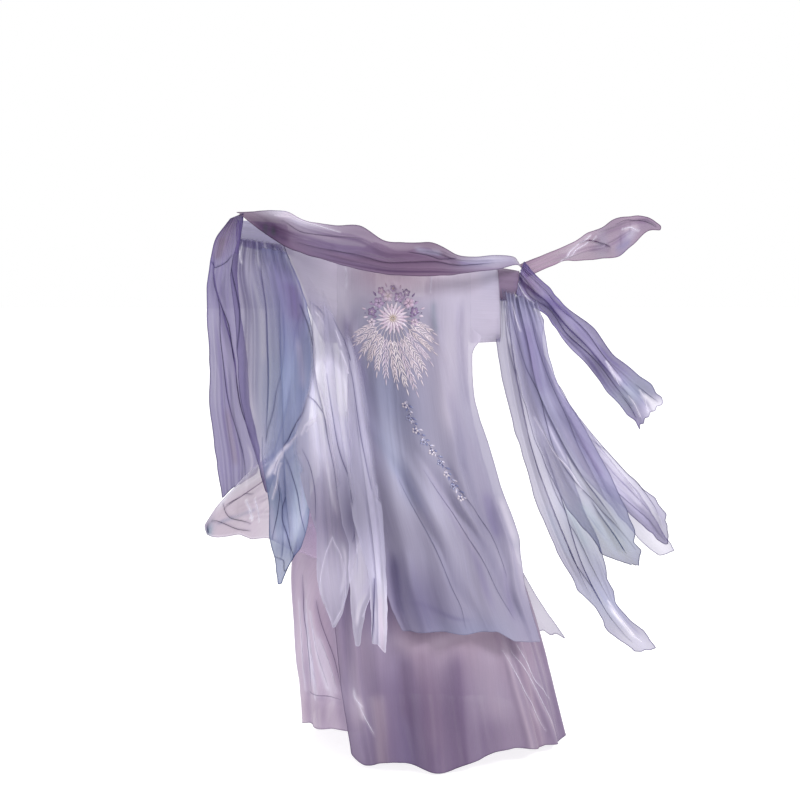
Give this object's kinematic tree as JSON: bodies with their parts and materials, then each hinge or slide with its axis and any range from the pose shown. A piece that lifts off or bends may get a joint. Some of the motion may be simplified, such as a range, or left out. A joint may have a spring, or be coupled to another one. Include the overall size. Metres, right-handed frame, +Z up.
{
  "type": "hanfu robe outfit",
  "caption": "Sheer hanfu outfit in its worn shape: open robe with petal sleeves, chest-high wrap skirt and long shawl, hollow inside.",
  "frame": {"origin": "base of the neck, midway between the shoulders, where the wearer carries the outfit", "axes": "+Z up, +Y the way the wearer faces, +X towards the wearer's right hand; the embroidered back looks towards -Y"},
  "size_m": [1.3423, 0.7406, 1.4974],
  "materials": {
    "skirt_mauve": "sheer mauve chiffon, matt with a soft sheen, fine pleats",
    "skirt_pale": "pale mauve chiffon, sheer and matt",
    "robe_lilac": "sheer lilac chiffon fading to blue and violet, faint sheen",
    "collar_lilac": "doubled lilac chiffon band, slightly denser",
    "sleeve_violet": "sheer violet chiffon with dark rolled edges",
    "sleeve_blue": "sheer grey blue chiffon fading to white at the point",
    "sleeve_white": "very sheer white chiffon with a faint lilac tint",
    "shawl_plum": "sheer plum chiffon in several folds",
    "shawl_violet": "sheer violet chiffon fading to blue grey and white",
    "shawl_mauve": "pale mauve chiffon",
    "strap_plum": "narrow woven strap"
  },
  "bodies": {
    "root": {"skirt_band": "skirt_mauve", "skirt_strap_left": "strap_plum", "skirt_strap_right": "strap_plum", "skirt_back": "skirt_mauve", "skirt_front": "skirt_pale", "robe_back": "robe_lilac", "robe_front_left": "robe_lilac", "robe_front_right": "robe_lilac", "robe_collar": "collar_lilac", "sleeve_upper_left": "robe_lilac", "sleeve_upper_right": "robe_lilac", "sleeve_cuff_left": "sleeve_violet", "sleeve_cuff_right": "sleeve_violet", "sleeve_left_main": "sleeve_violet", "sleeve_left_blue": "sleeve_blue", "sleeve_left_corner": "sleeve_white", "sleeve_left_petal_1": "sleeve_white", "sleeve_left_petal_2": "sleeve_white", "sleeve_left_petal_3": "sleeve_white", "sleeve_right_long": "sleeve_blue", "sleeve_right_mid": "sleeve_violet", "sleeve_right_outer": "sleeve_white", "sleeve_right_under": "sleeve_white", "shawl_back": "shawl_plum", "shawl_end_left": "shawl_violet", "shawl_end_right": "shawl_violet", "shawl_end_hand": "shawl_mauve"}
  },
  "joints": []
}
